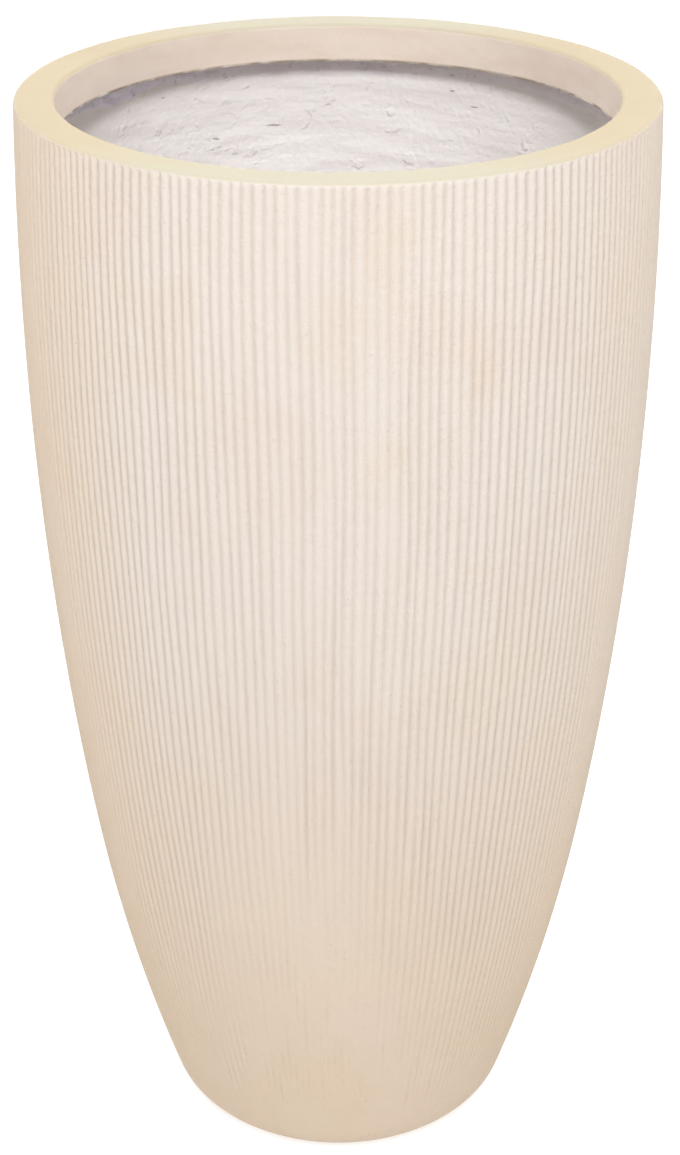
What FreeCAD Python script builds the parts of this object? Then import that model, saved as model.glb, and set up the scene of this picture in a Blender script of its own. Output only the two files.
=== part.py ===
import FreeCAD, Part
import Sketcher
import math
import os

# A tall ribbed fibreclay floor vase, in millimetres, standing on z = 0 with its axis on +Z.
# It is laid up from the outside in: a thin ribbed face coat carries a thicker fibre lining on its
# back, a cast ring caps the wall at the mouth, and a cast base slab with a rounded foot closes it
# below. A rubber plug sits in the drain hole of the slab and lifts out through the mouth.

# Driving dimensions. Radii of the wall are taken over the lands of the ribs.
SIZES = {
    # The wall line: two tangent arcs, the upper one widest at the belly.
    "vase_height": 690.0,
    "belly_radius": 188.0,
    "belly_height": 581.0,
    "upper_sweep_radius": 2440.0,
    "sweep_join_height": 216.0,
    "lower_sweep_radius": 1277.0,
    # The ribbed face coat and, behind a thin bond of slurry, the fibre lining.
    "face_coat_thickness": 5.0,
    "lining_thickness": 7.0,
    "bond_gap": 0.3,
    "rib_count": 198,
    "rib_depth": 1.6,
    "rib_run_out_height": 75.0,
    # The cast ring at the mouth.
    "lip_width": 23.5,
    "lip_depth": 24.0,
    "rim_cap_height": 3.5,
    "rim_outer_round": 3.0,
    "rim_inner_round": 2.5,
    # The cast base slab.
    "base_thickness": 25.0,
    "foot_round": 28.0,
    "foot_rim_width": 36.0,
    "underside_recess_depth": 3.0,
    "drain_radius": 11.0,
    # The rubber drain plug.
    "plug_clearance": 0.3,
    "plug_flange_width": 6.0,
    "plug_flange_edge": 2.4,
    "plug_crown": 2.6,
    "plug_shank_length": 14.0,
    "plug_wall": 3.0,
    "plug_web": 4.0,
    "plug_groove_drop": 3.5,
    "plug_groove_pitch": 4.6,
    "plug_groove_width": 2.2,
    "plug_groove_depth": 1.2,
    "plug_edge_round": 0.8,
}

# Which share of a rib's pitch is its flat land. The rest is the two flanks of the grooves.
RIB_LAND_SHARE = 0.5
# How many sealing grooves run round the plug's shank.
PLUG_GROOVES = 2

# Heights and insets that more than one piece takes, as sums of driving dimensions.
SLAB_TOP = ("base_thickness",)
COAT_TOP = ("vase_height", "-rim_cap_height")
LIP_UNDERSIDE = ("vase_height", "-lip_depth")
RIM_TOP = ("vase_height",)
COAT_BACK = ("face_coat_thickness",)
LINING_FRONT = ("face_coat_thickness", "bond_gap")
LINING_BACK = ("face_coat_thickness", "bond_gap", "lining_thickness")
FLUSH = ()

FULL_TURN = 360.0
UP = FreeCAD.Vector(0, 0, 1)
ORIGIN = FreeCAD.Vector(0, 0, 0)
# How a sketch numbers the points of a line or arc, and its own two axes.
START, END, CENTRE = range(1, 4)
FLOOR_LINE, AXIS_LINE = range(-1, -3, -1)

doc = FreeCAD.newDocument("ribbed_vase")


# The sheet of sizes

def make_sheet():
    """Writes every driving dimension to a cell of its own, under its alias."""
    new_sheet = doc.addObject("Spreadsheet::Sheet", "sizes")
    for row, (alias, number) in enumerate(SIZES.items(), start=1):
        new_sheet.set(f"A{row}", alias)
        new_sheet.set(f"B{row}", str(number))
        new_sheet.setAlias(f"B{row}", alias)
    doc.recompute()
    return new_sheet


sheet = make_sheet()


def size(alias):
    """The number in the sheet's cell of that name."""
    return float(sheet.get(alias))


def total(terms):
    """The value of a sum of sizes, where a leading minus takes one away."""
    return sum(-size(term[1:]) if term.startswith("-") else size(term) for term in terms)


def expression(terms):
    """The same sum as an expression that the document follows."""
    signed = [f"- sizes.{term[1:]}" if term.startswith("-") else f"+ sizes.{term}" for term in terms]
    return " ".join(signed).removeprefix("+ ")


# Bodies, sketches and features

def new_body(name):
    body = doc.addObject("PartDesign::Body", name)
    body.Label = name
    return body


def new_profile(body, purpose="profile"):
    """A sketch on the body's own XZ plane, whose x is the radius and whose y is the height."""
    profile = body.newObject("Sketcher::SketchObject", f"{body.Label}_{purpose}")
    plane = next(item for item in body.Origin.OriginFeatures if item.Role == "XZ_Plane")
    profile.AttachmentSupport = (plane, [""])
    profile.MapMode = "FlatFace"
    return profile


def bind(profile, constraint, terms):
    """Adds a constraint whose value follows the sheet."""
    index = profile.addConstraint(constraint)
    profile.setExpression(f"Constraints[{index}]", expression(terms))


def hold_radius(profile, item, point, terms):
    """Holds a point of the sketch at a distance from the axis."""
    if terms:
        reach = Sketcher.Constraint("DistanceX", FLOOR_LINE, START, item, point, total(terms))
        bind(profile, reach, terms)
    else:
        profile.addConstraint(Sketcher.Constraint("PointOnObject", item, point, AXIS_LINE))


def hold_height(profile, item, point, terms):
    """Holds a point of the sketch at a height above the floor."""
    if terms:
        rise = Sketcher.Constraint("DistanceY", FLOOR_LINE, START, item, point, total(terms))
        bind(profile, rise, terms)
    else:
        profile.addConstraint(Sketcher.Constraint("PointOnObject", item, point, FLOOR_LINE))


def meet(profile, item, point, other, other_point):
    profile.addConstraint(Sketcher.Constraint("Coincident", item, point, other, other_point))


def place_of(profile, item, point):
    return profile.getPoint(item, point)


def add_line(profile, begin, end):
    return profile.addGeometry(Part.LineSegment(begin, end))


def link(profile, item, point, other, other_point):
    """A straight line between two points that are already held."""
    line = add_line(profile, place_of(profile, item, point), place_of(profile, other, other_point))
    meet(profile, line, START, item, point)
    meet(profile, line, END, other, other_point)
    return line


def revolve(body, profile, feature="PartDesign::Revolution"):
    """Turns the profile once round the vase's axis, to add to the body or, as a groove, to cut it."""
    turned = body.newObject(feature, f"{profile.Label}_turned")
    turned.Profile = profile
    turned.ReferenceAxis = (profile, ["V_Axis"])
    turned.Angle = FULL_TURN
    doc.recompute()
    return turned


def round_edges(body, feature, edge_names, alias):
    """Rounds the named edges of a feature by the size of that name."""
    fillet = body.newObject("PartDesign::Fillet", f"{body.Label}_{alias}")
    fillet.Base = (feature, edge_names)
    fillet.setExpression("Radius", expression((alias,)))
    doc.recompute()
    return fillet


def lies_at(edge, height):
    """Whether an edge lies flat at a height, to a millionth of it or of its own extent."""
    extent = edge.BoundBox
    slack = (abs(height) + extent.DiagonalLength) * 1e-6
    return abs(extent.ZMin - height) < slack and abs(extent.ZMax - height) < slack


def rings_at(feature, height):
    """The names of a feature's circular edges at one height, from the smallest to the largest."""
    rings = []
    for number, edge in enumerate(feature.Shape.Edges, start=1):
        if lies_at(edge, height) and edge.Curve.TypeId == "Part::GeomCircle":
            rings.append((edge.Curve.Radius, f"Edge{number}"))
    return [name for radius, name in sorted(rings)]


# The wall line, which the face coat, the lining, the rim and the base share

def sweep_centres():
    """The centres of the upper and the lower arc, in the XZ plane."""
    drop = size("belly_height") - size("sweep_join_height")
    reach = math.sqrt(size("upper_sweep_radius") ** 2 - drop ** 2)
    ratio = size("lower_sweep_radius") / size("upper_sweep_radius")
    upper_x = size("belly_radius") - size("upper_sweep_radius")
    upper = FreeCAD.Vector(upper_x, 0, size("belly_height"))
    lower = FreeCAD.Vector(upper_x + reach * (1 - ratio), 0, size("sweep_join_height") + drop * ratio)
    return upper, lower


def on_arc(centre, radius, height):
    """The point of an arc at a height, on the side away from the axis."""
    return FreeCAD.Vector(centre.x + math.sqrt(radius ** 2 - (height - centre.z) ** 2), 0, height)


def arc_edge(centre, radius, low, high):
    ends = [on_arc(centre, radius, height) for height in (low, (low + high) / 2, high)]
    return Part.Arc(*ends).toShape()


def add_arc(profile, centre, radius, low, high, construction=False):
    """Draws the arc of a sweep between two heights, lower end first."""
    circle = Part.Circle(FreeCAD.Vector(centre.x, centre.z, 0), UP, radius)
    angles = [math.asin((height - centre.z) / radius) for height in (low, high)]
    return profile.addGeometry(Part.ArcOfCircle(circle, *angles), construction)


def add_upper_arc(profile, inset, low, high, construction=False):
    """The upper sweep of the wall line, moved towards the axis by an inset."""
    centre = sweep_centres()[0] - FreeCAD.Vector(total(inset), 0, 0)
    radius = size("upper_sweep_radius")
    arc = add_arc(profile, centre, radius, total(low), total(high), construction)
    beyond = ("upper_sweep_radius", "-belly_radius") + inset
    bind(profile, Sketcher.Constraint("Radius", arc, radius), ("upper_sweep_radius",))
    bind(profile, Sketcher.Constraint("DistanceX", arc, CENTRE, FLOOR_LINE, START, total(beyond)), beyond)
    hold_height(profile, arc, CENTRE, ("belly_height",))
    hold_height(profile, arc, START, low)
    hold_height(profile, arc, END, high)
    return arc


def add_lower_arc(profile, upper_arc, inset, low, construction=False):
    """The lower sweep, which runs tangent out of the upper one and down to a height."""
    centre = sweep_centres()[1] - FreeCAD.Vector(total(inset), 0, 0)
    radius = size("lower_sweep_radius")
    arc = add_arc(profile, centre, radius, total(low), size("sweep_join_height"), construction)
    bind(profile, Sketcher.Constraint("Radius", arc, radius), ("lower_sweep_radius",))
    hold_height(profile, arc, START, low)
    profile.addConstraint(Sketcher.Constraint("Tangent", arc, END, upper_arc, START))
    return arc


# The ribbed face coat

def turned_copy(shape, angle):
    copy = shape.copy()
    copy.rotate(ORIGIN, UP, angle)
    return copy


def wall_line(inset, bottom, top):
    """The wall line as edges from a height up, moved towards the axis by an inset."""
    inward = FreeCAD.Vector(-inset, 0, 0)
    upper, lower = sweep_centres()
    join_height = size("sweep_join_height")
    return [
        arc_edge(lower + inward, size("lower_sweep_radius"), bottom, join_height),
        arc_edge(upper + inward, size("upper_sweep_radius"), join_height, top),
    ]


def groove_line(run_out_height, top):
    """The floor of a groove: full depth from the sweeps' join up, and level with the lands at its run-out.

    Its lower arc leaves the join along the wall and comes out to the wall line at the run-out.
    """
    upper, lower = sweep_centres()
    join_height = size("sweep_join_height")
    inward = FreeCAD.Vector(-size("rib_depth"), 0, 0)
    wall_join = on_arc(upper, size("upper_sweep_radius"), join_height)
    outward = (wall_join - upper).normalize()
    groove_join = wall_join + inward
    run_out = on_arc(lower, size("lower_sweep_radius"), run_out_height) - groove_join
    radius = -run_out.dot(run_out) / (2 * outward.dot(run_out))
    return [
        arc_edge(groove_join - outward * radius, radius, run_out_height, join_height),
        arc_edge(upper + inward, size("upper_sweep_radius"), join_height, top),
    ]


def one_rib(bottom, top, pitch):
    """The faces of one rib: a land on the wall line and a flank down to the groove on each side.

    Below the run-out the flanks lie on the wall line too, so that the coat is plain there.
    """
    half_land = pitch * RIB_LAND_SHARE / 2
    half_pitch = pitch / 2
    run_out_height = size("rib_run_out_height")
    plain = arc_edge(sweep_centres()[1], size("lower_sweep_radius"), bottom, run_out_height)
    crests = [plain] + wall_line(0, run_out_height, top)
    floors = [plain] + groove_line(run_out_height, top)
    faces = []
    for crest, floor in zip(crests, floors):
        faces.append(turned_copy(crest, -half_land).revolve(ORIGIN, UP, 2 * half_land))
        faces.append(Part.makeRuledSurface(turned_copy(crest, half_land), turned_copy(floor, half_pitch)))
        faces.append(Part.makeRuledSurface(turned_copy(floor, -half_pitch), turned_copy(crest, -half_land)))
    return faces


def edges_at(faces, height):
    """The edges of some faces that lie flat at a height."""
    return [edge for face in faces for edge in face.Edges if lies_at(edge, height)]


def ring_face(outer_edges, inner_edges):
    """The flat ring between the ribbed outline and the round back of the coat, at one end."""
    ring = Part.Face([Part.Wire(Part.__sortEdges__(edges)) for edges in (outer_edges, inner_edges)])
    ring.validate()
    return ring


def make_ribbed_shell():
    """The moulded face coat: ribs all round, a smooth back, and a flat ring at each end."""
    bottom = total(SLAB_TOP)
    top = total(COAT_TOP)
    count = round(size("rib_count"))
    pitch = FULL_TURN / count
    rib = one_rib(bottom, top, pitch)
    skin = [turned_copy(face, index * pitch) for index in range(count) for face in rib]
    back = Part.Wire(wall_line(total(COAT_BACK), bottom, top)).revolve(ORIGIN, UP, FULL_TURN)
    ends = [ring_face(edges_at(skin, height), edges_at(back.Faces, height)) for height in (bottom, top)]
    coat = Part.makeCompound(skin + back.Faces + ends)
    coat.sewShape()
    solid = Part.Solid(coat.Shells[0])
    if solid.Volume < 0:
        solid.reverse()
    shell = doc.addObject("Part::Feature", "ribbed_shell")
    shell.Label = "ribbed_shell"
    shell.Shape = solid
    shell.Placement = FreeCAD.Placement()
    return shell


# The fibre lining

def make_fibre_lining():
    """The backing coat behind the ribbed one, from the slab up to the underside of the lip."""
    body = new_body("fibre_lining")
    profile = new_profile(body)
    walls = []
    for inset in (LINING_FRONT, LINING_BACK):
        upper_arc = add_upper_arc(profile, inset, ("sweep_join_height",), LIP_UNDERSIDE)
        walls.append((add_lower_arc(profile, upper_arc, inset, SLAB_TOP), upper_arc))
    (front_low, front_high), (back_low, back_high) = walls
    link(profile, front_high, END, back_high, END)
    link(profile, back_low, START, front_low, START)
    revolve(body, profile)
    return body


# The rim ring

def make_rim_ring():
    """The cast lip: a cap on the face coat's top edge and a skirt inside it, on the lining."""
    body = new_body("rim_ring")
    profile = new_profile(body)
    band = add_upper_arc(profile, FLUSH, COAT_TOP, RIM_TOP)
    skirt = add_upper_arc(profile, LINING_FRONT, LIP_UNDERSIDE, COAT_TOP)
    link(profile, skirt, END, band, START)
    rim_edge = place_of(profile, band, END)
    lip_edge = rim_edge - FreeCAD.Vector(size("lip_width"), 0, 0)
    lip_foot = lip_edge - FreeCAD.Vector(0, size("lip_depth"), 0)
    rim_top = add_line(profile, rim_edge, lip_edge)
    mouth_wall = add_line(profile, lip_edge, lip_foot)
    underside = add_line(profile, lip_foot, place_of(profile, skirt, START))
    meet(profile, rim_top, START, band, END)
    meet(profile, mouth_wall, START, rim_top, END)
    meet(profile, underside, START, mouth_wall, END)
    meet(profile, underside, END, skirt, START)
    profile.addConstraint(Sketcher.Constraint("Horizontal", rim_top))
    profile.addConstraint(Sketcher.Constraint("Vertical", mouth_wall))
    profile.addConstraint(Sketcher.Constraint("Horizontal", underside))
    width = Sketcher.Constraint("DistanceX", rim_top, END, rim_top, START, size("lip_width"))
    bind(profile, width, ("lip_width",))
    turned = revolve(body, profile)
    inner = round_edges(body, turned, rings_at(turned, total(RIM_TOP))[:1], "rim_inner_round")
    round_edges(body, inner, rings_at(inner, total(RIM_TOP))[-1:], "rim_outer_round")
    return body


# The base slab

def make_base_slab():
    """The cast base: a disc with a rounded foot, hollowed below and pierced by the drain hole."""
    body = new_body("base_slab")
    profile = new_profile(body)
    guide = add_upper_arc(profile, FLUSH, ("sweep_join_height",), ("belly_height",), construction=True)
    sweep = add_lower_arc(profile, guide, FLUSH, SLAB_TOP, construction=True)
    lower_centre = sweep_centres()[1]
    side = add_arc(profile, lower_centre, size("lower_sweep_radius"), 0, total(SLAB_TOP))
    meet(profile, side, CENTRE, sweep, CENTRE)
    meet(profile, side, END, sweep, START)
    hold_height(profile, side, START, ())
    foot_edge = place_of(profile, side, START)
    recess_edge = foot_edge - FreeCAD.Vector(size("foot_rim_width"), 0, 0)
    recess_rise = FreeCAD.Vector(0, size("underside_recess_depth"), 0)
    drain_foot = FreeCAD.Vector(size("drain_radius"), size("underside_recess_depth"), 0)
    drain_head = FreeCAD.Vector(size("drain_radius"), size("base_thickness"), 0)
    foot = add_line(profile, foot_edge, recess_edge)
    step = add_line(profile, recess_edge, recess_edge + recess_rise)
    ceiling = add_line(profile, recess_edge + recess_rise, drain_foot)
    drain = add_line(profile, drain_foot, drain_head)
    floor = add_line(profile, drain_head, place_of(profile, side, END))
    meet(profile, foot, START, side, START)
    for line, following in ((foot, step), (step, ceiling), (ceiling, drain), (drain, floor)):
        meet(profile, line, END, following, START)
    meet(profile, floor, END, side, END)
    for line in (foot, ceiling, floor):
        profile.addConstraint(Sketcher.Constraint("Horizontal", line))
    for line in (step, drain):
        profile.addConstraint(Sketcher.Constraint("Vertical", line))
    width = Sketcher.Constraint("DistanceX", foot, END, foot, START, size("foot_rim_width"))
    bind(profile, width, ("foot_rim_width",))
    hold_height(profile, ceiling, START, ("underside_recess_depth",))
    hold_radius(profile, drain, START, ("drain_radius",))
    turned = revolve(body, profile)
    round_edges(body, turned, rings_at(turned, 0)[-1:], "foot_round")
    return body


# The drain plug

def make_drain_plug():
    """The rubber bung: a crowned flange on the slab and a hollow shank with sealing grooves."""
    body = new_body("drain_plug")
    profile = new_profile(body)
    shank = ("drain_radius", "-plug_clearance")
    hollow = shank + ("-plug_wall",)
    flange = ("drain_radius", "plug_flange_width")
    web = SLAB_TOP + ("-plug_web",)
    tip = SLAB_TOP + ("-plug_shank_length",)
    brim = SLAB_TOP + ("plug_flange_edge",)
    crown = brim + ("plug_crown",)

    corners = [((), web), (hollow, web), (hollow, tip), (shank, tip)]
    lines = outline(profile, corners + [(shank, SLAB_TOP), (flange, SLAB_TOP), (flange, brim)])
    apex = FreeCAD.Vector(0, total(crown), 0)
    edge_of_brim = place_of(profile, lines[-1], END)
    rise = total(crown) - edge_of_brim.y
    radius = (edge_of_brim.x ** 2 + rise ** 2) / (2 * rise)
    circle = Part.Circle(apex - FreeCAD.Vector(0, radius, 0), UP, radius)
    start_angle = math.atan2(radius - rise, edge_of_brim.x)
    dome = profile.addGeometry(Part.ArcOfCircle(circle, start_angle, math.pi / 2), False)
    meet(profile, dome, START, lines[-1], END)
    hold_radius(profile, dome, END, ())
    hold_height(profile, dome, END, crown)
    profile.addConstraint(Sketcher.Constraint("PointOnObject", dome, CENTRE, AXIS_LINE))
    link(profile, dome, END, lines[0], START)
    turned = revolve(body, profile)

    for order in range(PLUG_GROOVES):
        turned = cut_seal_groove(body, order)
    rims = [rings_at(turned, total(height))[-1] for height in (tip, SLAB_TOP, brim)]
    round_edges(body, turned, rims, "plug_edge_round")
    return body


def cut_seal_groove(body, order):
    """Cuts one sealing groove into the shank, the first one next to the flange."""
    profile = new_profile(body, f"seal_groove_{order}")
    floor = ("drain_radius", "-plug_clearance", "-plug_groove_depth")
    past_shank = ("drain_radius",)
    top = SLAB_TOP + ("-plug_groove_drop",) + ("-plug_groove_pitch",) * order
    bottom = top + ("-plug_groove_width",)
    lines = outline(profile, [(floor, bottom), (past_shank, bottom), (past_shank, top), (floor, top)])
    link(profile, lines[-1], END, lines[0], START)
    return revolve(body, profile, "PartDesign::Groove")


def outline(profile, corners):
    """Straight lines through held corners, each a radius and a height. Returns the lines."""
    places = [FreeCAD.Vector(total(radius), total(height), 0) for radius, height in corners]
    lines = [add_line(profile, begin, end) for begin, end in zip(places, places[1:])]
    for line, (radius, height) in zip(lines, corners):
        hold_radius(profile, line, START, radius)
        hold_height(profile, line, START, height)
    for line, following in zip(lines, lines[1:]):
        meet(profile, line, END, following, START)
    last_radius, last_height = corners[-1]
    hold_radius(profile, lines[-1], END, last_radius)
    hold_height(profile, lines[-1], END, last_height)
    return lines


# All pieces, checked and written

def check_document():
    """Stops before anything is written if an object failed or a shape is bad."""
    for item in doc.Objects:
        if any(word in ("Invalid", "Error") for word in item.State):
            raise RuntimeError(f"{item.Label} failed: {item.State}")


PIECES = [make_ribbed_shell(), make_fibre_lining(), make_rim_ring(), make_base_slab(), make_drain_plug()]
doc.recompute()
check_document()
for piece in PIECES:
    if piece.Shape.isNull() or not piece.Shape.isValid():
        raise RuntimeError(f"{piece.Label} has no valid shape")
os.makedirs("parts", exist_ok=True)
for piece in PIECES:
    piece.Shape.exportStep(f"parts/{piece.Label}.step")
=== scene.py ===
import math
import bmesh
import bpy
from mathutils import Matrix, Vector, noise


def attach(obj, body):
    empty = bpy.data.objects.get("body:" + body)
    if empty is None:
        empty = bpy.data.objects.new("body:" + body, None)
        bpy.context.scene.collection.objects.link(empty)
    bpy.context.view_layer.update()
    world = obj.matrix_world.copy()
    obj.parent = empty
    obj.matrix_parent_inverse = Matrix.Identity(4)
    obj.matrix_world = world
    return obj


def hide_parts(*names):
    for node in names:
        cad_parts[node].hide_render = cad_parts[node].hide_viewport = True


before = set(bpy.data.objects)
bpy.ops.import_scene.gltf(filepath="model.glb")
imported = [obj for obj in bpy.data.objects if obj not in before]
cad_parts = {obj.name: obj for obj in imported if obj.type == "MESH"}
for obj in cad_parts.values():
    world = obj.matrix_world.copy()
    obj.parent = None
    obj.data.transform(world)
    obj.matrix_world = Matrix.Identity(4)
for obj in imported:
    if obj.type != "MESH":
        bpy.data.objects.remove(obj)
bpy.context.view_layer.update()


# The ribbed face coat is the outer skin of the vase, a thin layer of sandy clay pressed into a mould.
# Its reeds were drawn up the mould by hand, so they wander and differ in width and depth.
# Towards the foot they are rubbed down flat, and a pale wash is brushed over the whole skin.
BELLY_RADIUS = 0.188
BELLY_HEIGHT = 0.581
UPPER_SWEEP = 2.440
LOWER_SWEEP = 1.277
SWEEP_JOIN = 0.216
COAT_FOOT = 0.025
COAT_TOP = 0.6865
COAT_THICKNESS = 0.005
COAT_FRONT_ROWS = 66
COAT_BACK_ROWS = 9
SECTORS = 12
SAME_PLACE = 1e-6
EDGE_CREASE = math.radians(50)
REED_COUNT = 198
REED_STEPS = 6
REED_DEPTH = 0.0016
REED_PITCH = math.tau / REED_COUNT
REED_ROUNDNESS = 1.7
REED_SWAY_SHARE = 0.42
REED_WIDTH_SHARE = 0.17
REED_UNEVEN_SHARE = 0.32
RUBBED_FOOT = 0.022
RUBBED_FRONT = 0.115
RUBBED_FACE = math.radians(-100)
RUBBED_FOCUS = 14
RUBBED_LEAN = 0.020
RUBBED_PATCH_SHARE = 0.6
RUBBED_BAND = 0.240
RUBBED_SHREDS = 0.045
REMNANT_SHARE = 0.45
REMNANT_FOOT = 0.029
REMNANT_TOP = 0.070
WASH_FOOT = 0.02
WASH_TOP = 0.50
PALE_WASH = (211, 202, 195)
SIDE_PAINTED_SHADE = (214, 194, 170)
SANDY_FOOT = (207, 188, 167)
PINK_BLOTCH = (210, 193, 181)
YELLOW_BLOTCH = (211, 196, 174)
GROOVE_PAINTED_SHADE = (176, 151, 123)
BRUSH_STREAK = (200, 183, 167)
SAND_SPECK = (168, 140, 112)
CLAY_SHEEN = 0.25
CLAY_LUMPS = 0.0008
CLAY_GRAINS = 0.0004


def wall_radius(height):
    """The radius of the vase over its reeds: two arcs that run into each other at the sweeps' join."""
    drop = BELLY_HEIGHT - SWEEP_JOIN
    upper_centre = BELLY_RADIUS - UPPER_SWEEP
    if height >= SWEEP_JOIN:
        return upper_centre + math.sqrt(UPPER_SWEEP ** 2 - (height - BELLY_HEIGHT) ** 2)
    ratio = LOWER_SWEEP / UPPER_SWEEP
    lower_centre = upper_centre + math.sqrt(UPPER_SWEEP ** 2 - drop ** 2) * (1 - ratio)
    return lower_centre + math.sqrt(LOWER_SWEEP ** 2 - (height - SWEEP_JOIN - drop * ratio) ** 2)


def rows(low, high, count):
    """Evenly spaced heights from low to high, both ends among them."""
    return [low + (high - low) * index / (count - 1) for index in range(count)]


def turn_outline(outline, steps, closed=True):
    """Turns an outline of radii and heights once round the axis, one sector first and then its copies."""
    mesh = bmesh.new()
    corners = [mesh.verts.new((radius, 0, height)) for radius, height in outline]
    following = corners[1:] + corners[:1] if closed else corners[1:]
    edges = [mesh.edges.new(pair) for pair in zip(corners, following)]
    sector = math.tau / SECTORS
    bmesh.ops.spin(mesh, geom=corners + edges, axis=(0, 0, 1), cent=(0, 0, 0),
                   steps=steps // SECTORS, angle=sector)
    strip = mesh.verts[:] + mesh.edges[:] + mesh.faces[:]
    bmesh.ops.spin(mesh, geom=strip, axis=(0, 0, 1), cent=(0, 0, 0), steps=SECTORS - 1,
                   angle=math.tau - sector, use_duplicate=True)
    bmesh.ops.remove_doubles(mesh, verts=mesh.verts, dist=SAME_PLACE)
    bmesh.ops.recalc_face_normals(mesh, faces=mesh.faces)
    return mesh


def fade(value, low, high):
    """Rises smoothly from nought at low to one at high."""
    share = min(max((value - low) / (high - low), 0), 1)
    return share * share * (3 - 2 * share)


def ripple(angle, around, rise):
    """Smooth noise on the wall, which changes faster round the vase the higher around is."""
    return noise.noise(Vector((around * math.cos(angle), around * math.sin(angle), rise)))


def own_ripple(groove, step, rise, layer):
    """Smooth noise along one groove, unlike that of its neighbours."""
    return noise.noise(Vector((step * groove, rise, layer)))


def reed_sway(groove, height):
    """How far a groove strays sideways at a height, as an angle."""
    shared = ripple(groove * REED_PITCH, around=5, rise=7 * height)
    own = own_ripple(groove, step=7.31, rise=11 * height, layer=2.5)
    return REED_PITCH * (REED_SWAY_SHARE * shared + REED_WIDTH_SHARE * own)


def reed_depth(groove, height):
    """The depth of a groove at a height: less where the foot is rubbed down, apart from short remnants."""
    angle = groove * REED_PITCH
    front = max(math.cos(angle - RUBBED_FACE), 0) ** RUBBED_FOCUS
    lean = RUBBED_PATCH_SHARE * ripple(angle, around=3, rise=9.5) - math.cos(angle)
    rubbed = RUBBED_FOOT + RUBBED_FRONT * front + RUBBED_LEAN * lean
    rubbed -= RUBBED_SHREDS * ripple(angle, around=14, rise=9 * height)
    spared = fade(ripple(angle, around=20, rise=24 * height), -0.1, 0.35)
    remnant = REMNANT_SHARE * spared * fade(height, REMNANT_FOOT, REMNANT_TOP)
    uneven = 1 + REED_UNEVEN_SHARE * own_ripple(groove, step=3.7, rise=16 * height, layer=5.5)
    return REED_DEPTH * uneven * max(fade(height, rubbed, rubbed + RUBBED_BAND), remnant)


def press_reeds(mesh, wall, run_out):
    """Presses the grooves into the outermost layer of a turned mesh, a wall thick, and notes their depth.

    The run-out tells how much of its full depth a groove has at a height.
    """
    depth_layer = mesh.verts.layers.float.new("groove_depth")
    steps = REED_COUNT * REED_STEPS
    for vertex in mesh.verts:
        height = vertex.co.z
        radius = math.hypot(vertex.co.x, vertex.co.y)
        if radius < wall_radius(height) - wall:
            continue
        step = round(math.atan2(vertex.co.y, vertex.co.x) / math.tau * steps) % steps
        groove, share = step // REED_STEPS, step % REED_STEPS / REED_STEPS
        angle = (groove + share) * REED_PITCH
        sunk = 0
        for index, weight in ((groove, 1 - share), ((groove + 1) % REED_COUNT, share)):
            angle += reed_sway(index, height) * weight
            sunk += reed_depth(index, height) * run_out(index, height) * weight
        sunk *= abs(2 * share - 1) ** REED_ROUNDNESS
        vertex.co.x = (radius - sunk) * math.cos(angle)
        vertex.co.y = (radius - sunk) * math.sin(angle)
        vertex[depth_layer] = sunk / REED_DEPTH


front_rows = rows(COAT_FOOT, COAT_TOP, COAT_FRONT_ROWS)
back_rows = rows(COAT_TOP, COAT_FOOT, COAT_BACK_ROWS)
coat_outline = [(wall_radius(height), height) for height in front_rows]
coat_outline += [(wall_radius(height) - COAT_THICKNESS, height) for height in back_rows]
coat = turn_outline(coat_outline, REED_COUNT * REED_STEPS)
press_reeds(coat, COAT_THICKNESS / 2, lambda groove, height: 1)
for face in coat.faces:
    face.smooth = True
for edge in coat.edges:
    if all(min(vertex.co.z - COAT_FOOT, COAT_TOP - vertex.co.z) < SAME_PLACE for vertex in edge.verts):
        edge.smooth = False


def colour(tone):
    """A colour as it looks on a screen, from 0 to 255, as the light it reflects."""
    linear = [part / 255 for part in tone]
    linear = [part / 12.92 if part <= 0.04045 else ((part + 0.055) / 1.055) ** 2.4 for part in linear]
    return (*linear, 1)


def new_finish(name):
    """A bare finish, with its node tree, its shader and the piece's own coordinates."""
    finish = bpy.data.materials.new(name)
    finish.use_nodes = True
    tree = finish.node_tree
    place = tree.nodes.new("ShaderNodeTexCoord").outputs["Object"]
    return finish, tree, tree.nodes["Principled BSDF"], place


def grain(tree, place, scale, detail=3.0, stretch=(1, 1, 1), shift=(0, 0, 0)):
    """Cloudy noise on the piece's own coordinates, drawn out or moved where a finish asks for it."""
    mapping = tree.nodes.new("ShaderNodeMapping")
    mapping.inputs["Scale"].default_value = stretch
    mapping.inputs["Location"].default_value = shift
    cloud = tree.nodes.new("ShaderNodeTexNoise")
    cloud.inputs["Scale"].default_value = scale
    cloud.inputs["Detail"].default_value = detail
    tree.links.new(place, mapping.inputs["Vector"])
    tree.links.new(mapping.outputs["Vector"], cloud.inputs["Vector"])
    return cloud.outputs["Fac"]


def between(tree, value, low, high, most=1.0, least=0.0):
    """Turns the part of a value from low to high into a smooth rise from least to most."""
    window = tree.nodes.new("ShaderNodeMapRange")
    window.interpolation_type = "SMOOTHSTEP"
    for name, number in (("From Min", low), ("From Max", high), ("To Min", least), ("To Max", most)):
        window.inputs[name].default_value = number
    tree.links.new(value, window.inputs["Value"])
    return window.outputs["Result"]


def tint(tree, share, first, second):
    """Passes from the first colour to the second by a share. Each is a tone or another tint."""
    mix = tree.nodes.new("ShaderNodeMix")
    mix.data_type = "RGBA"
    tree.links.new(share, mix.inputs[0])
    for socket, tone in ((mix.inputs[6], first), (mix.inputs[7], second)):
        if isinstance(tone, tuple):
            socket.default_value = colour(tone)
        else:
            tree.links.new(tone, socket)
    return mix.outputs[2]


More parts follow.
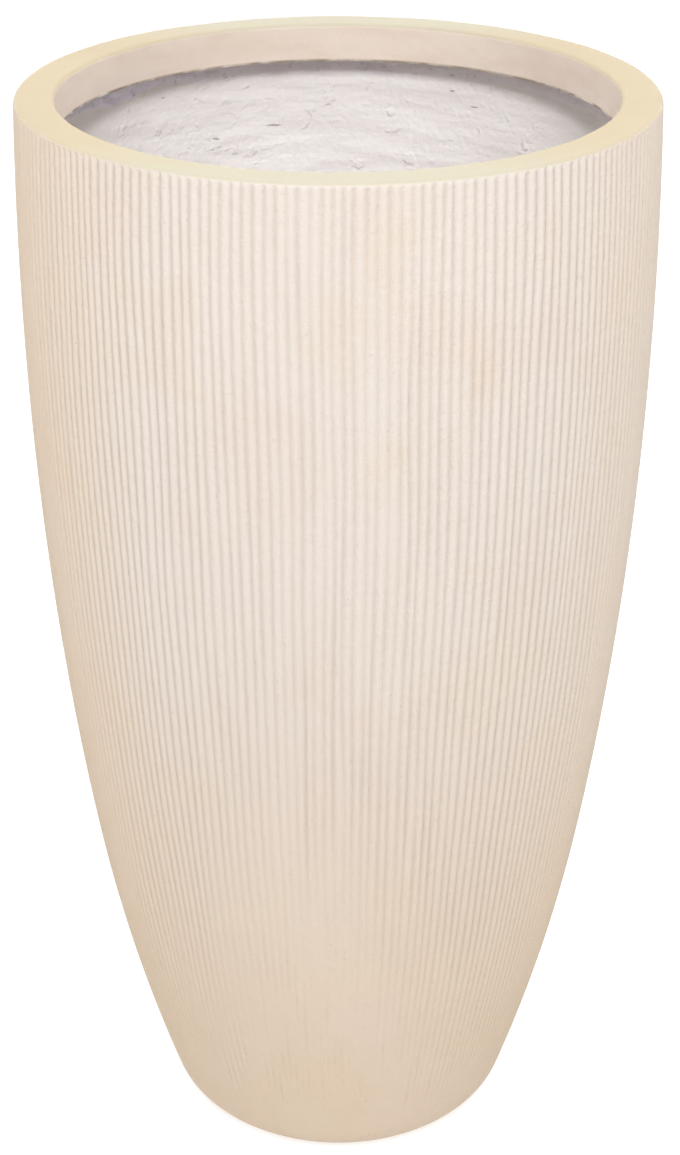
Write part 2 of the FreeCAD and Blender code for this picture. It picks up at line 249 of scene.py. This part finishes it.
def roughen(tree, shader, relief, depth, under=None):
    """Lets a value stand out as fine relief, on top of another such relief if one is given."""
    bump = tree.nodes.new("ShaderNodeBump")
    bump.inputs["Strength"].default_value = 1.0
    bump.inputs["Distance"].default_value = depth
    tree.links.new(relief, bump.inputs["Height"])
    if under:
        tree.links.new(under, bump.inputs["Normal"])
    tree.links.new(bump.outputs["Normal"], shader.inputs["Normal"])
    return bump.outputs["Normal"]


def axis_of(tree, place, axis):
    """How far a place lies along one axis."""
    split = tree.nodes.new("ShaderNodeSeparateXYZ")
    tree.links.new(place, split.inputs["Vector"])
    return split.outputs[axis]


def side_of(tree, place):
    """Minus one on the vase's left side, nought in front and behind, and one on its right side."""
    level = tree.nodes.new("ShaderNodeVectorMath")
    level.operation = "MULTIPLY"
    level.inputs[1].default_value = (1, 1, 0)
    outward = tree.nodes.new("ShaderNodeVectorMath")
    outward.operation = "NORMALIZE"
    tree.links.new(place, level.inputs[0])
    tree.links.new(level.outputs["Vector"], outward.inputs[0])
    return axis_of(tree, outward.outputs["Vector"], "X")


def noted(tree, name):
    """A value that was noted on the mesh while it was shaped."""
    attribute = tree.nodes.new("ShaderNodeAttribute")
    attribute.attribute_name = name
    return attribute.outputs["Fac"]


def sandy_wash(tree, shader, place, grit=1.0):
    """The skin of the wall and of the foot: sandy below, paler above, with soft blotches and grit in it,
    and painted shade on its left and right sides.
    """
    raised = between(tree, axis_of(tree, place, "Z"), WASH_FOOT, WASH_TOP)
    wash = tint(tree, raised, SANDY_FOOT, PALE_WASH)
    pink = between(tree, grain(tree, place, 11, 4), 0.50, 0.68, most=0.35)
    wash = tint(tree, pink, wash, PINK_BLOTCH)
    yellow = between(tree, grain(tree, place, 17, 4, shift=(3, 1, 7)), 0.52, 0.70, most=0.28)
    wash = tint(tree, yellow, wash, YELLOW_BLOTCH)
    # The left and right sides are tinted warmer and a little darker, the left one more: painted shade where
    # the wall turns away from the front.
    facing = side_of(tree, place)
    wash = tint(tree, between(tree, facing, -0.5, -1.0, most=0.68), wash, SIDE_PAINTED_SHADE)
    wash = tint(tree, between(tree, facing, 0.55, 1.0, most=0.35), wash, SIDE_PAINTED_SHADE)
    brushed = between(tree, grain(tree, place, 130, 2, stretch=(1, 1, 0.07)), 0.35, 0.70, most=0.08)
    wash = tint(tree, brushed, wash, BRUSH_STREAK)
    specks = between(tree, grain(tree, place, 430, 1), 0.75, 0.80, most=0.35)
    wash = tint(tree, specks, wash, SAND_SPECK)
    dull = between(tree, grain(tree, place, 60), 0.3, 0.7, most=0.88, least=0.74)
    tree.links.new(dull, shader.inputs["Roughness"])
    shader.inputs["Specular IOR Level"].default_value = CLAY_SHEEN
    lumps = roughen(tree, shader, grain(tree, place, 170, 4), CLAY_LUMPS * grit)
    roughen(tree, shader, grain(tree, place, 900, 3), CLAY_GRAINS * grit, under=lumps)
    return wash


washed_clay, tree, shader, place = new_finish("washed_clay")
wash = sandy_wash(tree, shader, place)
# The grooves are tinted darker the deeper they are: painted shade in the grooves.
shaded = between(tree, noted(tree, "groove_depth"), 0.3, 1.0, most=0.17)
tree.links.new(tint(tree, shaded, wash, GROOVE_PAINTED_SHADE), shader.inputs["Base Color"])


def finish_piece(mesh, name, finish, body, crease=EDGE_CREASE):
    """Makes the object of a piece, in place of the solid of the same name.

    Its creases are set by their angle, or left as they are in the mesh where no angle is given.
    """
    data = bpy.data.meshes.new(name)
    mesh.to_mesh(data)
    mesh.free()
    data.materials.append(finish)
    if crease:
        data.shade_smooth()
        data.set_sharp_from_angle(angle=crease)
    piece = bpy.data.objects.new(f"{name}_finished", data)
    bpy.context.collection.objects.link(piece)
    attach(piece, body)
    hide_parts(name)


finish_piece(coat, "ribbed_shell", washed_clay, "vase", crease=None)


# The fibre lining backs the face coat: clay with chopped fibre, laid in by hand and trowelled round.
# Its open face is lumpy, with trowel strokes that run round the vase, small pits and short gashes.
# It stays rough under the lip, where the trowel could not reach, and stands a little proud there.
LINING_FRONT = 0.0053
LINING_BACK = 0.0123
LINING_TOP = 0.666
FINE_ROWS_FOOT = 0.560
COARSE_ROWS_TOP = 0.550
LINING_FRONT_ROWS = 12
LINING_FINE_ROWS = 60
LINING_COARSE_ROWS = 54
LINING_STEPS = 396
TROWEL_RELIEF = 0.0005
LUMP_RELIEF = 0.0026
ROUGH_BAND = 0.011
LEAST_ROUGH_SHARE = 0.4
LEDGE_RISE = 0.0012
LEDGE_START = 0.001
LEDGE_END = 0.002
SMOOTH_FOOT = 0.01
LAVENDER_GREY = (235, 230, 229)
PALE_TROWEL = (242, 238, 236)
LILAC_SHADE_GREY = (243, 240, 254)
PIT_GREY = (146, 136, 140)
LINING_DULLNESS = 0.9
LINING_SHEEN = 0.2
STROKE_DEPTH = 0.0010
CRINKLE_DEPTH = 0.0005
FIBRE_DEPTH = 0.0008

front_rows = rows(COAT_FOOT, LINING_TOP, LINING_FRONT_ROWS)
back_rows = rows(LINING_TOP, FINE_ROWS_FOOT, LINING_FINE_ROWS)
back_rows += rows(COARSE_ROWS_TOP, COAT_FOOT, LINING_COARSE_ROWS)
lining_outline = [(wall_radius(height) - LINING_FRONT, height) for height in front_rows]
lining_outline += [(wall_radius(height) - LINING_BACK, height) for height in back_rows]
lining = turn_outline(lining_outline, LINING_STEPS)
rough_layer = lining.verts.layers.float.new("rough_band")
for vertex in lining.verts:
    height = vertex.co.z
    radius = math.hypot(vertex.co.x, vertex.co.y)
    if radius > wall_radius(height) - (LINING_FRONT + LINING_BACK) / 2:
        continue
    outward = Vector((vertex.co.x, vertex.co.y, 0)) / radius
    strokes = noise.fractal(Vector((14 * vertex.co.x, 14 * vertex.co.y, 70 * height)), 0.8, 2.1, 4)
    lumps = noise.fractal(vertex.co * 140, 0.6, 2.0, 4)
    wander = 0.35 * noise.noise(outward * 4) + 0.15 * noise.noise(outward * 14)
    ledge = LINING_TOP - ROUGH_BAND * (1 + wander)
    rough = fade(height, ledge - LEDGE_START, ledge + LEDGE_END)
    rough *= LEAST_ROUGH_SHARE + (1 - LEAST_ROUGH_SHARE) * fade(-outward.x, 0.2, 0.8)
    held = fade(height, COAT_FOOT, COAT_FOOT + SMOOTH_FOOT)
    shift = TROWEL_RELIEF * strokes * (1 - rough) + (LUMP_RELIEF * lumps - LEDGE_RISE) * rough
    vertex.co += outward * shift * held
    vertex[rough_layer] = rough

grey_backing, tree, shader, place = new_finish("grey_backing")
strokes = grain(tree, place, 16, 5, stretch=(1, 1, 7))
backing = tint(tree, between(tree, strokes, 0.35, 0.65), LAVENDER_GREY, PALE_TROWEL)
gashes = between(tree, grain(tree, place, 55, 3, stretch=(1, 1, 4)), 0.70, 0.75, most=0.7)
backing = tint(tree, gashes, backing, PIT_GREY)
pits = between(tree, grain(tree, place, 210, 3), 0.58, 0.72, most=0.6)
# The rough band under the lip is pitted and tinted a cool lilac grey: the pits are its own, the lilac tint
# is painted shade.
backing = tint(tree, noted(tree, "rough_band"), backing, tint(tree, pits, LILAC_SHADE_GREY, PIT_GREY))
tree.links.new(backing, shader.inputs["Base Color"])
shader.inputs["Roughness"].default_value = LINING_DULLNESS
shader.inputs["Specular IOR Level"].default_value = LINING_SHEEN
trowelled = roughen(tree, shader, strokes, STROKE_DEPTH)
crinkles = between(tree, grain(tree, place, 75, 5, shift=(2, 5, 1)), 0.60, 0.70)
crinkled = roughen(tree, shader, crinkles, CRINKLE_DEPTH, under=trowelled)
roughen(tree, shader, grain(tree, place, 240, 4), FIBRE_DEPTH, under=crinkled)
finish_piece(lining, "fibre_lining", grey_backing, "vase")


# The rim ring is cast in finer clay and caps the wall at the mouth, with a skirt on the lining.
# Its top was struck off flat and its edges were rubbed round, the outer one more than the inner.
# The lower edge of the lip is left as it came from the mould, uneven and a little chipped.
RIM_TOP = 0.690
LIP_UNDERSIDE = 0.666
LIP_WIDTH = 0.0235
RIM_TOP_SHARES = (0.2, 0.35, 0.5, 0.65, 0.8)
SKIRT_ROWS = 4
LIP_ROWS = 10
RIM_OUTER_ROUND = 0.003
RIM_OUTER_SEGMENTS = 7
RIM_INNER_ROUND = 0.0025
RIM_INNER_SEGMENTS = 4
RIM_UNEVENNESS = 0.00035
REED_TIP_BAND = 0.0022
REED_TIP_UNEVENNESS = 0.0013
CHIP_DEPTH = 0.0003
CHIP_BAND = 0.004
LIP_FACE_START = 0.005
LIP_FACE_FULL = 0.001
WASHED_SIDE_START = 0.018
WASHED_SIDE_FULL = 0.020
WASHED_DROP_START = 0.0004
WASHED_DROP_FULL = 0.0016
CREAM_DROP_START = 0.0026
CREAM_DROP_FULL = 0.0010
EDGE_SHADE_START = 0.0022
EDGE_SHADE_FULL = 0.0006
PAINTED_LIGHT_START = 0.10
PAINTED_LIGHT_FULL = 0.18
RIM_GRIT_SHARE = 0.35
CREAM_CLAY = (199, 184, 158)
YELLOW_CREAM = (201, 187, 160)
LIT_CREAM = (199, 195, 178)
LIP_BEIGE = (231, 217, 205)
LIP_STAIN = (225, 208, 193)
LIP_EDGE_SHADE = (150, 136, 122)

rim_radius = wall_radius(RIM_TOP)
mouth_radius = rim_radius - LIP_WIDTH
skirt_rows = rows(LIP_UNDERSIDE, COAT_TOP, SKIRT_ROWS)
rim_outline = [(wall_radius(height) - LINING_FRONT, height) for height in skirt_rows]
rim_outline += [(wall_radius(height), height) for height in (COAT_TOP, RIM_TOP)]
rim_outline += [(rim_radius - LIP_WIDTH * share, RIM_TOP) for share in RIM_TOP_SHARES]
rim_outline += [(mouth_radius, height) for height in rows(RIM_TOP, LIP_UNDERSIDE, LIP_ROWS)]
rim_outline += [(mouth_radius + LIP_WIDTH / 4, LIP_UNDERSIDE)]
rim = turn_outline(rim_outline, REED_COUNT * REED_STEPS)


def ring_edges(mesh, radius, height):
    """The edges of a turned mesh that lie on one circle."""
    slack = 1e-5
    on_ring = {vertex for vertex in mesh.verts if abs(vertex.co.z - height) < slack
               and abs(math.hypot(vertex.co.x, vertex.co.y) - radius) < slack}
    return [edge for edge in mesh.edges if on_ring.issuperset(edge.verts)]


def reed_tip(groove, height):
    """A groove runs out on the rounded edge of the rim, each at a height of its own."""
    own = own_ripple(groove, step=5.1, rise=1.5, layer=0.5)
    end = RIM_TOP - REED_TIP_UNEVENNESS * (0.6 + 0.8 * own)
    return fade(height, end, end - REED_TIP_BAND)


for radius, rounding, segments in ((rim_radius, RIM_OUTER_ROUND, RIM_OUTER_SEGMENTS),
                                   (mouth_radius, RIM_INNER_ROUND, RIM_INNER_SEGMENTS)):
    bmesh.ops.bevel(rim, geom=ring_edges(rim, radius, RIM_TOP), offset=rounding, segments=segments,
                    profile=0.5, affect="EDGES", material=-1)
washed_layer = rim.verts.layers.float.new("washed_side")
for vertex in rim.verts:
    past_mouth = math.hypot(vertex.co.x, vertex.co.y) - mouth_radius
    outside = fade(past_mouth, WASHED_SIDE_START, WASHED_SIDE_FULL)
    vertex[washed_layer] = outside * fade(RIM_TOP - vertex.co.z, WASHED_DROP_START, WASHED_DROP_FULL)
press_reeds(rim, RIM_OUTER_ROUND, reed_tip)
for vertex in rim.verts:
    spot = vertex.co.copy()
    outward = Vector((spot.x, spot.y, 0)).normalized()
    high = fade(spot.z, COAT_TOP, RIM_TOP)
    low = fade(spot.z, LIP_UNDERSIDE + CHIP_BAND, LIP_UNDERSIDE)
    inner = fade(math.hypot(spot.x, spot.y) - mouth_radius, LIP_FACE_START, LIP_FACE_FULL)
    vertex.co.z += RIM_UNEVENNESS * noise.noise(spot * 22) * high
    vertex.co += outward * RIM_UNEVENNESS * inner * noise.fractal(spot * 38, 0.8, 2.0, 3)
    vertex.co.z += low * inner * CHIP_DEPTH * (0.5 + noise.fractal(spot * 90, 0.6, 2.0, 4))

cream_clay, tree, shader, place = new_finish("cream_clay")
wash = sandy_wash(tree, shader, place, grit=RIM_GRIT_SHARE)
level = axis_of(tree, place, "Z")
cream = tint(tree, between(tree, grain(tree, place, 13, 4), 0.35, 0.65), CREAM_CLAY, YELLOW_CREAM)
# The cream turns paler towards the front and the back of the rim: painted light.
across = tree.nodes.new("ShaderNodeMath")
across.operation = "ABSOLUTE"
tree.links.new(axis_of(tree, place, "Y"), across.inputs[0])
painted_light = between(tree, across.outputs["Value"], PAINTED_LIGHT_START, PAINTED_LIGHT_FULL, most=0.8)
cream = tint(tree, painted_light, cream, LIT_CREAM)
stained = between(tree, grain(tree, place, 18, 4, stretch=(1, 1, 3)), 0.42, 0.72)
lip = tint(tree, stained, LIP_BEIGE, LIP_STAIN)
# A dark band, broken by noise, runs along the lower edge of the lip: painted shade under the lip.
shaded_edge = tint(tree, between(tree, grain(tree, place, 70, 3), 0.25, 0.6), lip, LIP_EDGE_SHADE)
lip = tint(tree, between(tree, level, LIP_UNDERSIDE + EDGE_SHADE_START, LIP_UNDERSIDE + EDGE_SHADE_FULL), lip, shaded_edge)
cream = tint(tree, between(tree, level, RIM_TOP - CREAM_DROP_START, RIM_TOP - CREAM_DROP_FULL), lip, cream)
tree.links.new(tint(tree, noted(tree, "washed_side"), cream, wash), shader.inputs["Base Color"])
finish_piece(rim, "rim_ring", cream_clay, "vase")


# The base slab is cast in the same sandy clay as the wall and closes the vase below.
# Its foot is rounded, its underside is hollowed a little so that it stands on a ring,
# and a drain hole is left through its middle.
SLAB_SIDE_FOOT = 0.0225
FOOT_ROUND = 0.028
FOOT_SEGMENTS = 9
FOOT_RIM_WIDTH = 0.036
RECESS_DEPTH = 0.003
UNDERSIDE_RINGS = (0.070, 0.045, 0.025)
DRAIN_RADIUS = 0.011
FLOOR_RINGS = (0.040, 0.080)
FLOOR_REACH = 0.09
FLOOR_SLACK = 0.0001
FLOOR_UNEVENNESS = 0.0002
SLAB_STEPS = 324
WORN_START = 0.006
WORN_FULL = 0.001
BARE_BAND = 0.0003
WORN_FOOT = (205, 184, 162)
BARE_FLOOR = (206, 198, 194)

foot_radius = wall_radius(0)
recess_radius = foot_radius - FOOT_RIM_WIDTH
slab_outline = [(foot_radius, 0), (recess_radius, 0), (recess_radius, RECESS_DEPTH)]
slab_outline += [(radius, RECESS_DEPTH) for radius in (*UNDERSIDE_RINGS, DRAIN_RADIUS)]
slab_outline += [(radius, COAT_FOOT) for radius in (DRAIN_RADIUS, *FLOOR_RINGS)]
slab_outline += [(wall_radius(height), height) for height in (COAT_FOOT, SLAB_SIDE_FOOT)]
slab = turn_outline(slab_outline, SLAB_STEPS)
lean = math.atan2(wall_radius(COAT_FOOT) - foot_radius, COAT_FOOT)
foot_reach = FOOT_ROUND * math.tan((math.pi / 2 - lean) / 2)
bmesh.ops.bevel(slab, geom=ring_edges(slab, foot_radius, 0), offset=foot_reach, segments=FOOT_SEGMENTS,
                profile=0.5, affect="EDGES", material=-1)
for vertex in slab.verts:
    if vertex.co.z > COAT_FOOT - FLOOR_SLACK and math.hypot(vertex.co.x, vertex.co.y) < FLOOR_REACH:
        vertex.co.z += FLOOR_UNEVENNESS * noise.noise(vertex.co * 90)

base_clay, tree, shader, place = new_finish("base_clay")
level = axis_of(tree, place, "Z")
sandy = sandy_wash(tree, shader, place)
sandy = tint(tree, between(tree, level, WORN_START, WORN_FULL), sandy, WORN_FOOT)
sandy = tint(tree, between(tree, level, COAT_FOOT - BARE_BAND, COAT_FOOT), sandy, BARE_FLOOR)
tree.links.new(sandy, shader.inputs["Base Color"])
finish_piece(slab, "base_slab", base_clay, "vase")


# The drain plug is a moulded rubber bung, pushed into the drain hole from inside the vase.
# A crowned flange rests on the slab, and the hollow shank below it has two sealing grooves.
PLUG_SHANK = 0.0107
PLUG_HOLLOW = 0.0077
PLUG_FLANGE = 0.017
PLUG_TIP = 0.011
PLUG_WEB = 0.021
PLUG_BRIM = 0.0274
PLUG_CROWN = 0.030
PLUG_EDGE_ROUND = 0.0007
PLUG_EDGE_SEGMENTS = 3
CROWN_SHARES = (0.15, 0.3, 0.45, 0.6, 0.75, 0.9, 1)
GROOVE_TOPS = (0.0215, 0.0169)
GROOVE_WIDTH = 0.0022
GROOVE_FLOOR = 0.0095
PLUG_STEPS = 96
PLUG_CREASE = math.radians(35)
RUBBER = (34, 33, 33)
DUSTY_RUBBER = (62, 59, 57)
RUBBER_GRAIN_DEPTH = 0.00012

crown_drop = PLUG_CROWN - PLUG_BRIM
plug_outline = [(0, PLUG_CROWN)]
plug_outline += [(PLUG_FLANGE * share, PLUG_CROWN - crown_drop * share ** 2) for share in CROWN_SHARES]
plug_outline += [(PLUG_FLANGE, COAT_FOOT), (PLUG_SHANK, COAT_FOOT)]
for groove_top in GROOVE_TOPS:
    groove_foot = groove_top - GROOVE_WIDTH
    plug_outline += [(PLUG_SHANK, groove_top), (GROOVE_FLOOR, groove_top)]
    plug_outline += [(GROOVE_FLOOR, groove_foot), (PLUG_SHANK, groove_foot)]
plug_outline += [(PLUG_SHANK, PLUG_TIP), (PLUG_HOLLOW, PLUG_TIP), (PLUG_HOLLOW, PLUG_WEB), (0, PLUG_WEB)]
plug = turn_outline(plug_outline, PLUG_STEPS, closed=False)
rounded = ring_edges(plug, PLUG_FLANGE, PLUG_BRIM) + ring_edges(plug, PLUG_FLANGE, COAT_FOOT)
rounded += ring_edges(plug, PLUG_SHANK, PLUG_TIP)
bmesh.ops.bevel(plug, geom=rounded, offset=PLUG_EDGE_ROUND, segments=PLUG_EDGE_SEGMENTS,
                profile=0.5, affect="EDGES", material=-1)

black_rubber, tree, shader, place = new_finish("black_rubber")
dust = between(tree, grain(tree, place, 130, 4), 0.45, 0.75, most=0.8)
tree.links.new(tint(tree, dust, RUBBER, DUSTY_RUBBER), shader.inputs["Base Color"])
dull = between(tree, grain(tree, place, 160), 0.3, 0.7, most=0.72, least=0.5)
tree.links.new(dull, shader.inputs["Roughness"])
roughen(tree, shader, grain(tree, place, 1400, 2), RUBBER_GRAIN_DEPTH)
finish_piece(plug, "drain_plug", black_rubber, "plug", crease=PLUG_CREASE)


# The studio: a pale floor that glows a little, a white room, a soft key light high in front of the vase,
# a broad light above it and two low lights behind it.
# The camera stands a step away and looks down on the rim.
FLOOR_HALF = 120.0
FLOOR_SQUARES = 8
FLOOR_DROP = 0.0005
FLOOR_GREY = (170, 170, 170)
FLOOR_PALE_GREY = (176, 176, 176)
FLOOR_DULLNESS = 0.95
GLOW_NEAR = 0.72
GLOW_FAR = 0.85
GLOW_START = 0.4
GLOW_END = 2.2
ROOM_WHITE = (255, 248, 238)
ROOM_LIGHT = 0.32
SKYLINE_LIGHT = 1.1
SKYLINE_START = 0.02
SKYLINE_END = 0.12
COOL_WHITE = (252, 254, 255)
CAMERA_PLACE = (0.0010, -1.2985, 1.0288)
CAMERA_PITCH = math.radians(26.69)
CAMERA_LENS = 71.19
CAMERA_SENSOR = 36.0

ground = bmesh.new()
bmesh.ops.create_grid(ground, x_segments=FLOOR_SQUARES, y_segments=FLOOR_SQUARES, size=FLOOR_HALF)
bmesh.ops.translate(ground, verts=ground.verts, vec=(0, 0, -FLOOR_DROP))
ground_data = bpy.data.meshes.new("floor")
ground.to_mesh(ground_data)
ground.free()
floor_white, tree, shader, place = new_finish("floor_white")
paper = tint(tree, between(tree, grain(tree, place, 3), 0.3, 0.7), FLOOR_GREY, FLOOR_PALE_GREY)
tree.links.new(paper, shader.inputs["Base Color"])
shader.inputs["Roughness"].default_value = FLOOR_DULLNESS
shader.inputs["Specular IOR Level"].default_value = 0.0
shader.inputs["Emission Color"].default_value = (1, 1, 1, 1)
away = tree.nodes.new("ShaderNodeVectorMath")
away.operation = "LENGTH"
tree.links.new(place, away.inputs[0])
glow = between(tree, away.outputs["Value"], GLOW_START, GLOW_END, most=GLOW_FAR, least=GLOW_NEAR)
tree.links.new(glow, shader.inputs["Emission Strength"])
ground_data.materials.append(floor_white)
floor = bpy.data.objects.new("floor", ground_data)
bpy.context.collection.objects.link(floor)

scene = bpy.context.scene
world = bpy.data.worlds.new("white_room")
world.use_nodes = True
tree = world.node_tree
sky = tree.nodes["Background"]
sky.inputs["Color"].default_value = colour(ROOM_WHITE)
skyline = axis_of(tree, tree.nodes.new("ShaderNodeTexCoord").outputs["Generated"], "Z")
room_light = between(tree, skyline, SKYLINE_START, SKYLINE_END, most=ROOM_LIGHT, least=SKYLINE_LIGHT)
tree.links.new(room_light, sky.inputs["Strength"])
scene.world = world


def add_softbox(name, place, aim, width, power, tone=(255, 255, 255)):
    """A square soft light that points at a place on the vase's axis, given by its height."""
    lamp = bpy.data.lights.new(name, "AREA")
    lamp.shape = "SQUARE"
    lamp.size = width
    lamp.energy = power
    lamp.color = colour(tone)[:3]
    softbox = bpy.data.objects.new(name, lamp)
    softbox.location = place
    softbox.rotation_euler = (Vector((0, 0, aim)) - Vector(place)).to_track_quat("-Z", "Y").to_euler()
    bpy.context.collection.objects.link(softbox)


add_softbox("key_softbox", place=(0.03, -2.4, 2.9), aim=0.5, width=0.7, power=86, tone=COOL_WHITE)
add_softbox("top_softbox", place=(0, -0.1, 3.0), aim=0.6, width=2.4, power=24)
for name, sideways in (("back_left_softbox", -1.35), ("back_right_softbox", 1.35)):
    add_softbox(name, place=(sideways, 1.75, 1.35), aim=0.65, width=0.8, power=26, tone=COOL_WHITE)

camera_data = bpy.data.cameras.new("camera")
camera_data.sensor_fit = "VERTICAL"
camera_data.sensor_height = CAMERA_SENSOR
camera_data.lens = CAMERA_LENS
camera = bpy.data.objects.new("camera", camera_data)
camera.location = CAMERA_PLACE
camera.rotation_euler = (math.pi / 2 - CAMERA_PITCH, 0, 0)
bpy.context.collection.objects.link(camera)
scene.camera = camera
scene.view_settings.view_transform = "Standard"
